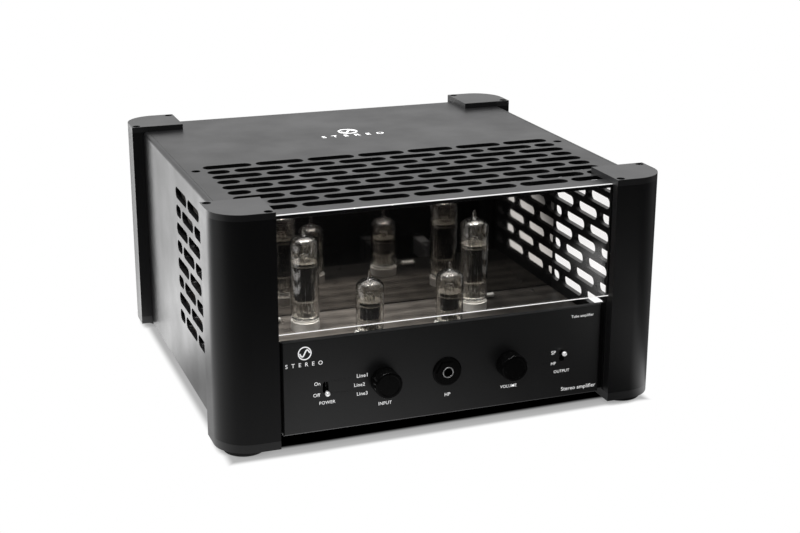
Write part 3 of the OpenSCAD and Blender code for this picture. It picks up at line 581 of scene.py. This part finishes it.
def plate_outline(width, depth, fin):
    """An anode seen from above: a box with rounded corners and a flat fin at each side."""
    corner = 1.6
    quarter = []
    for step in range(5):
        t = math.pi / 2 * step / 4
        quarter.append((width / 2 - corner + corner * math.cos(t), depth / 2 - corner + corner * math.sin(t)))
    right = [(width / 2, 0.3)] + quarter
    top = [(width / 2 + fin, 0.3)] + right
    left = [(-x, y) for x, y in reversed(top)]
    below = [(-x, -y) for x, y in top] + [(x, -y) for x, y in reversed(top)]
    return top + left + below


def plates(name, at, low, high, width, depth):
    bm = bmesh.new()
    levels = [(low + 0.6, 1.0)]
    ribs = 3
    for i in range(ribs):
        z = low + (high - low) * (i + 0.5) / ribs
        levels += [(z - 1.4, 1.0), (z - 0.9, 1.05), (z + 0.9, 1.05), (z + 1.4, 1.0)]
    levels.append((high - 0.3, 1.0))
    loft(bm, plate_outline(width, depth, 1.3), levels, at)
    return add_piece(name, bm, PLATE)


def micas(name, at, heights, radius):
    """Toothed discs that hold the electrodes."""
    teeth = 18
    outline = []
    for i in range(teeth):
        for part, reach in ((0.0, 0.0), (0.35, 0.0), (0.5, 0.9), (0.85, 0.9)):
            t = 2 * math.pi * (i + part) / teeth
            outline.append(((radius - reach) * math.cos(t), (radius - reach) * math.sin(t)))
    bm = bmesh.new()
    for z in heights:
        loft(bm, outline, [(z, 1.0), (z + 0.4, 1.0)], at)
    add_piece(name, bm, MICA)


def tube_wires(name, at, base, low, high, width):
    """Pins and leads, support rods, and the ring that carried the getter."""
    bm = bmesh.new()
    pin, lead, rod = circle(PIN_R, 12), circle(0.28, 8), circle(0.45, 10)
    for i in range(1, 10):
        t = math.radians(i * 36 - 90)
        x, y = at.x + PIN_CIRCLE_R * math.cos(t), at.y + PIN_CIRCLE_R * math.sin(t)
        sweep(bm, [(x, y, base), (x, y, at.z + 4.0)], pin)
        inner = (x * 0.4 + at.x * 0.6, y * 0.4 + at.y * 0.6, at.z + low + 0.3)
        sweep(bm, [(x, y, at.z + 3.9), (x, y, at.z + low - 3.0), inner], lead)
    for x, y in ((-width * 0.3, 0), (width * 0.3, 0), (0, 1.6), (0, -1.6)):
        sweep(bm, [at + Vector((x, y, low - 2.0)), at + Vector((x, y, high + 3.2))], rod)
    stem = [at + Vector((2.9, 0, high + z)) for z in (0.2, 3.0, 4.9)]
    sweep(bm, stem, lead)
    ring = [at + Vector((x, y, high + 5.0)) for x, y in circle(2.9, 32)]
    sweep(bm, ring, circle(0.42, 8), loop=True)
    add_piece(name, bm, WIRE)


def getter_film(name, at, diameter, height):
    """The silver film on the inside of the dome, as a thin closed shell."""
    shoulder = height - TIP_H
    sides = []
    for inset in (GLASS_T + 0.08, GLASS_T + 0.16):
        radius, rise = diameter / 2 - inset, DOME_H - inset
        angles = [math.radians(a) for a in range(36, 70, 4)]
        sides.append([(radius * math.cos(a), shoulder + rise * math.sin(a)) for a in angles])
    bm = bmesh.new()
    lathe(bm, sides[0] + sides[1][::-1], at, closed=True)
    add_piece(name, bm, GETTER)


def tube(kind, side, low, top_gap, width, depth, extra_mica):
    """Everything inside one bulb. The plates reach from low to top_gap below the tip."""
    name = f"{side}_{kind}"
    box_low, box_high, middle = span(f"{name}_tube_glass")
    at = Vector((middle.x, middle.y, box_low.z))
    diameter, height = box_high.x - box_low.x, box_high.z - box_low.z
    high = height - top_gap
    pin_end = span(f"{kind}_tube_electrodes")[0].z
    electrodes = plates(f"{name}_plates", at, low, high, width, depth)
    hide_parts(f"{kind}_tube_electrodes")
    mica_r = diameter / 2 - GLASS_T - 0.25
    micas(f"{name}_micas", at, [low, high, high - extra_mica], mica_r)
    tube_wires(f"{name}_wires", at, pin_end, low, high, width)
    getter_film(f"{name}_getter", at, diameter, height)


for side in ("left", "right"):
    tube("power", side, low=14.0, top_gap=27.3, width=13.0, depth=9.0, extra_mica=2.6)
    tube("preamp", side, low=9.0, top_gap=23.6, width=12.0, depth=7.0, extra_mica=3.2)


# ---- small parts ----

FRONT = Matrix.Rotation(math.pi / 2, 4, "X")   # turns a drawing in XY to face the front
REAR = Matrix.Rotation(-math.pi / 2, 4, "X")
ALONG_X = Matrix.Rotation(math.pi / 2, 4, "Y")

RESISTORS = [(-89, -17), (89, -17), (-58.5, -90), (58.5, -90)]
REAR_SCREW_X = (-112, -38, 38, 112)
REAR_SCREW_Z = (19, 160)
LINE_X = (62, 82, 102)
LINE_Z = {"right": 52, "left": 72}
INLET_X, INLET_Z = -98, 62
INLET_PINS = [(-7, -8.5), (0, -4.5), (7, -8.5)]


def resistor_lead(bm, x, y, deck, axis, half, way):
    """One lead: out of the end of the body, and bent down to the deck."""
    out, bend = x + way * (half + 1.4), x + way * (half + 2.0)
    path = [(x + way * (half - 0.2), y, axis), (out, y, axis), (bend, y, axis - 0.6), (bend, y, deck - 0.2)]
    sweep(bm, path, circle(0.35, 8))


def deck_resistors():
    """Ceramic resistors that lie on the deck, with their leads bent down to it."""
    deck = span("tube_deck")[1].z
    axis = deck + 2.6
    bodies, leads = bmesh.new(), bmesh.new()
    half = 5.2
    outline = [(0.0, -half), (1.5, -half), (1.9, -half + 0.5), (1.9, -half + 1.8), (1.65, -half + 2.4)]
    outline += [(r, -z) for r, z in reversed(outline)]
    for x, y in RESISTORS:
        lathe_at(bodies, outline, Matrix.Translation((x, y, axis)) @ ALONG_X)
        for way in (-1, 1):
            resistor_lead(leads, x, y, deck, axis, half, way)
    add_piece("deck_resistor_bodies", bodies, CERAMIC)
    add_piece("deck_resistor_leads", leads, WIRE)


def panel_screws():
    """Domed screws along the top and bottom of the rear panel."""
    face = span("rear_panel")[1].y
    bm = bmesh.new()
    head = [(0.0, 0.9), (1.1, 0.9), (1.2, 1.7), (1.9, 1.45), (2.6, 0.8), (2.8, 0.0), (0.0, 0.0)]
    for x in REAR_SCREW_X:
        for z in REAR_SCREW_Z:
            lathe_at(bm, head, Matrix.Translation((x, face, z)) @ REAR)
    add_piece("rear_panel_screws", bm, STEEL_BLACK)


def inlet_blades():
    """Bright blades over the three pins of the mains inlet."""
    face = span("rear_panel")[1].y
    bm = bmesh.new()
    for x, z in INLET_PINS:
        block(bm, (2.2, 13.3, 4.2), (INLET_X + x, face - 7.35, INLET_Z + z), 0.4)
    add_piece("inlet_blades", bm, BRIGHT)


def socket_inserts():
    """Coloured insulators in the line sockets: red on the right channel and white on the left."""
    face = span("line_input_sockets")[1].y - 0.48
    ring = [(1.65, 0.0), (3.1, 0.0), (3.1, 0.35), (1.65, 0.35)]
    for channel, material, slot in (("right", RED, "red_plastic"), ("left", CERAMIC, "ceramic")):
        bm = bmesh.new()
        for x in LINE_X:
            lathe_at(bm, ring, Matrix.Translation((x, face, LINE_Z[channel])) @ REAR, closed=True)
        add_piece(f"socket_inserts_{channel}", bm, material)


def headphone_ring():
    """Bevelled lip round the plug hole."""
    low, _, middle = span("headphone_jack")
    axis_z = span("headphone_nut")[2].z
    bm = bmesh.new()
    lathe(bm, [(3.3, 0.0), (4.1, 0.0), (4.1, 0.1), (3.9, 0.3), (3.5, 0.3), (3.3, 0.1)], closed=True)
    add_piece("headphone_ring", bm, ZINC, Matrix.Translation((middle.x, low.y, axis_z)) @ FRONT)


deck_resistors()
headphone_ring()
panel_screws()
inlet_blades()
socket_inserts()


# ---- printing ----

INK_T = 0.05
BOLDER = 0.007      # how far the letters' edges are moved out, as a share of their height
PANEL_FACE = span("front_panel")[0].y
TOP_FACE = span("top_plate")[1].z


def on_panel(x, z):
    return Matrix.Translation((x, PANEL_FACE, z)) @ FRONT


def print_text(name, text, width, place, spacing):
    """Raised lettering, centred on its place and as wide as given."""
    curve = bpy.data.curves.new(name, "FONT")
    curve.body = text
    curve.space_character = spacing
    curve.resolution_u = 4
    curve.extrude = 1.0
    curve.offset = BOLDER
    holder = bpy.data.objects.new(name + "_curve", curve)
    collection.objects.link(holder)
    mesh = bpy.data.meshes.new_from_object(holder.evaluated_get(bpy.context.evaluated_depsgraph_get()))
    bpy.data.objects.remove(holder)
    xs = [v.co.x for v in mesh.vertices]
    ys = [v.co.y for v in mesh.vertices]
    scale = width / (max(xs) - min(xs))
    to_middle = Vector((-(max(xs) + min(xs)) / 2, -(max(ys) + min(ys)) / 2, 0))
    fit = Matrix.Diagonal((scale, scale, INK_T, 1.0)) @ Matrix.Translation(to_middle)
    add_mesh(name, mesh, INK, place @ fit)


def emblem(name, place, radius):
    """A plain mark: a ring with one period of a sine wave across it."""
    bm = bmesh.new()
    width = radius * 0.17
    lathe(bm, [(radius - width, -INK_T), (radius, -INK_T), (radius, INK_T), (radius - width, INK_T)],
          steps=72, closed=True)
    steps = 40
    reach = radius - width * 1.6
    wave = []
    for i in range(steps + 1):
        t = 2 * i / steps - 1
        wave.append((reach * t, radius * 0.48 * math.sin(math.pi * t), 0.0))
    half = width * 0.6
    sweep(bm, wave, [(-half, -INK_T), (half, -INK_T), (half, INK_T), (-half, INK_T)], normal=(0, 0, 1))
    add_piece(name, bm, INK, place=place)


WIDE, NORMAL = 2.2, 1.05     # spacing of the letters

# Name of the piece: text, width in mm, and the place of its middle on the panel.
LABELS = {
    "on": ("On", 4.4, -95.8, 45.9),
    "off": ("Off", 4.9, -96.3, 37.5),
    "power": ("POWER", 11.5, -88.7, 31.3),
    "line_1": ("Line1", 7.8, -63.3, 47.8),
    "line_2": ("Line2", 7.8, -65.2, 41.2),
    "line_3": ("Line3", 7.8, -63.3, 34.4),
    "input": ("INPUT", 9.8, -46.4, 24.8),
    "phones": ("HP", 4.3, 0.6, 24.8),
    "volume": ("VOLUME", 12.8, 47.9, 24.6),
    "speakers": ("SP", 3.7, 83.1, 45.6),
    "headphones": ("HP", 3.9, 83.3, 37.2),
    "output": ("OUTPUT", 12.5, 90.0, 30.6),
    "stereo": ("STEREO", 26.5, -105.0, 61.3),
    "kind": ("Tube amplifier", 18.0, 105.4, 71.3),
    "circuit": ("Stereo amplifier", 28.0, 104.2, 15.8),
}
for key, (text, width, x, z) in LABELS.items():
    print_text(f"label_{key}", text, width, on_panel(x, z), WIDE if key == "stereo" else NORMAL)
emblem("panel_emblem", on_panel(-104.4, 69.4), 4.9)
emblem("top_emblem", Matrix.Translation((0.0, 69.0, TOP_FACE)), 8.0)
print_text("top_stereo", "STEREO", 52.0, Matrix.Translation((0.0, 55.0, TOP_FACE)), WIDE)


# ---- studio ----

def disc_lamp(name, place, target, diameter, radiance):
    """A round lamp that the camera does not see."""
    data = bpy.data.lights.new(name, "AREA")
    data.shape = "DISK"
    data.size = diameter
    data.energy = radiance * math.pi * diameter * diameter * (math.pi / 4)
    lamp = bpy.data.objects.new(name, data)
    lamp.location = place
    lamp.rotation_mode = "QUATERNION"
    lamp.rotation_quaternion = (Vector(target) - Vector(place)).to_track_quat("-Z", "Y")
    lamp.visible_camera = False
    collection.objects.link(lamp)


def glow(g, mirrored, seen):
    """The first strength for what a surface mirrors, and the second for what the camera sees straight
    or through glass."""
    path = g.node("ShaderNodeLightPath").outputs
    directly = g.math("LESS_THAN", g.add(path["Glossy Depth"], path["Diffuse Depth"]), 0.5)
    made = g.node("ShaderNodeMix", {"data_type": "FLOAT"})
    g.feed(made.inputs[0], directly)
    g.feed(made.inputs[2], mirrored)
    g.feed(made.inputs[3], seen)
    return made.outputs[0]


FLOOR_REACH = 9.0
# The dark patch under the object is a painted shadow.
SHADOW_X = 0.147            # half width of the dark patch under the object
SHADOW_Y = (0.149, 0.143)   # its half depth at the left and at the right


def floor_mirrored(g, x, y):
    """What the floor mirrors into the object, as painted light: bright at the left and behind, dim in front,
    as on a sheet lit from the left rear, with a painted shadow of the object cut into the bright left patch."""
    near = g.ramp(y, (-0.62, 0.03), (-0.45, 0.12), (-0.19, 0.85))
    front = g.multiply(near, g.ramp(x, (-0.1, 1.0), (0.14, 0.2)), g.ramp(y, (-0.05, 1.0), (0.1, 0.2)))
    slant = g.add(y, g.multiply(g.add(x, 0.3), 0.7))
    # A slanted edge cuts off the bright left patch: a painted shadow of the object.
    edge = g.add(x, g.multiply(y, 0.25))
    left = g.multiply(g.ramp(slant, (-0.04, 0.18), (0.26, 2.6)), g.ramp(edge, (-0.145, 1.0), (-0.11, 0.0)),
                      g.ramp(y, (-0.03, 0.0), (0.1, 1.0)))
    # A bright band at the right front: a painted pool of light.
    aside = g.add(x, g.multiply(y, 0.33))
    band = g.multiply(g.ramp(aside, (0.09, 0.0), (0.14, 1.5), (0.17, 1.5), (0.21, 0.0)),
                      g.ramp(y, (-0.54, 0.0), (-0.48, 1.0), (-0.16, 1.0), (-0.12, 0.0)))
    return g.add(front, left, band)


def floor_shade(g, x, y):
    """The floor as the camera sees it: white, with a painted shadow where the object stands, from ambient
    occlusion near it and a dark patch under it.
    """
    contact = g.node("ShaderNodeAmbientOcclusion", {"samples": 16}, Distance=0.03).outputs["AO"]
    half_depth = g.spread(x, *SHADOW_Y, -0.1, 0.12)
    painted_shadow_patch = g.math("MAXIMUM", g.math("SUBTRACT", g.math("ABSOLUTE", x), SHADOW_X),
                     g.math("SUBTRACT", g.math("ABSOLUTE", y), half_depth))
    return g.math("MINIMUM", g.ramp(contact, (0.0, 0.25), (0.5, 1.0)),
                  g.ramp(painted_shadow_patch, (-0.003, 0.0), (0.003, 0.38), (0.010, 0.44), (0.017, 1.0)))


def floor():
    g = Graph("floor")
    x, y = g.axis("X"), g.axis("Y")
    g.set(Base_Color=rgb(0.0, 0.0, 0.0), Roughness=1.0, Specular_IOR_Level=0.0)
    g.set(Emission_Color=rgb(1.0, 1.0, 1.0))
    g.set(Emission_Strength=glow(g, floor_mirrored(g, x, y), floor_shade(g, x, y)))
    mesh = bpy.data.meshes.new("floor")
    corners = [(-FLOOR_REACH, -FLOOR_REACH, 0), (FLOOR_REACH, -FLOOR_REACH, 0),
               (FLOOR_REACH, FLOOR_REACH, 0), (-FLOOR_REACH, FLOOR_REACH, 0)]
    mesh.from_pydata(corners, [], [(0, 1, 2, 3)])
    mesh.materials.append(g.material)
    plane = bpy.data.objects.new("floor", mesh)
    collection.objects.link(plane)


class WorldGraph(Graph):
    """The same node helpers, for the world."""

    def __init__(self, name):
        self.material = bpy.data.worlds.new(name)
        self.material.use_nodes = True
        self.tree = self.material.node_tree
        self.background = self.tree.nodes["Background"]
        self.place = self.node("ShaderNodeTexCoord").outputs["Generated"]


def world():
    """White to the eye. In reflections it is bright behind the object and dim in front of it."""
    g = WorldGraph("studio")
    x, y, z = (g.axis(letter) for letter in "XYZ")
    behind = g.ramp(y, (-0.3, 0.04), (0.6, 0.8))
    left = g.multiply(g.ramp(x, (-0.7, 0.8), (-0.1, 0.0)), g.ramp(y, (0.0, 0.0), (0.6, 1.0)))
    above = g.ramp(z, (0.5, 0.0), (0.9, 0.35))
    g.feed(g.background.inputs["Strength"], glow(g, g.add(behind, left, above), 1.0))
    g.feed(g.background.inputs["Color"], rgb(1.0, 1.0, 1.0))
    bpy.context.scene.world = g.material


CAMERA_PLACE = (-0.374153, -1.073820, 0.439360)
CAMERA_AZIMUTH, CAMERA_ELEVATION, CAMERA_ROLL = -20.178, 17.813, 0.19    # degrees
CAMERA_LENS = 67.91


def camera():
    """A long lens, from the left and above."""
    azimuth, elevation = math.radians(CAMERA_AZIMUTH), math.radians(CAMERA_ELEVATION)
    roll = math.radians(CAMERA_ROLL)
    back = Vector((math.sin(azimuth) * math.cos(elevation), -math.cos(azimuth) * math.cos(elevation),
                   math.sin(elevation)))
    right = (-back).cross(Vector((0, 0, 1))).normalized()
    up = right.cross(-back)
    across = right * math.cos(roll) + up * math.sin(roll)
    upward = up * math.cos(roll) - right * math.sin(roll)
    data = bpy.data.cameras.new("camera")
    data.lens = CAMERA_LENS
    data.sensor_width = 36.0
    data.clip_start, data.clip_end = 0.05, 60.0
    cam = bpy.data.objects.new("camera", data)
    turn = Matrix((across, upward, back)).transposed().to_4x4()
    cam.matrix_world = Matrix.Translation(Vector(CAMERA_PLACE)) @ turn
    collection.objects.link(cam)
    bpy.context.scene.camera = cam


def lamps():
    """A row over the object, which lights the deck through the slots, and one in front and above."""
    for i in range(5):
        disc_lamp(f"overhead_{i}", (-0.6 + 0.26 * i, -0.05, 1.7), (0.0, -0.05, 0.1), 0.16, 130.0)
    for i in range(3):
        disc_lamp(f"ceiling_{i}", (-0.9 + 0.16 * i, -0.5, 2.0), (0.0, -0.1, 0.1), 0.08, 320.0)


floor()
world()
camera()
lamps()
bpy.context.scene.view_settings.view_transform = "Standard"
bpy.context.scene.view_settings.look = "None"
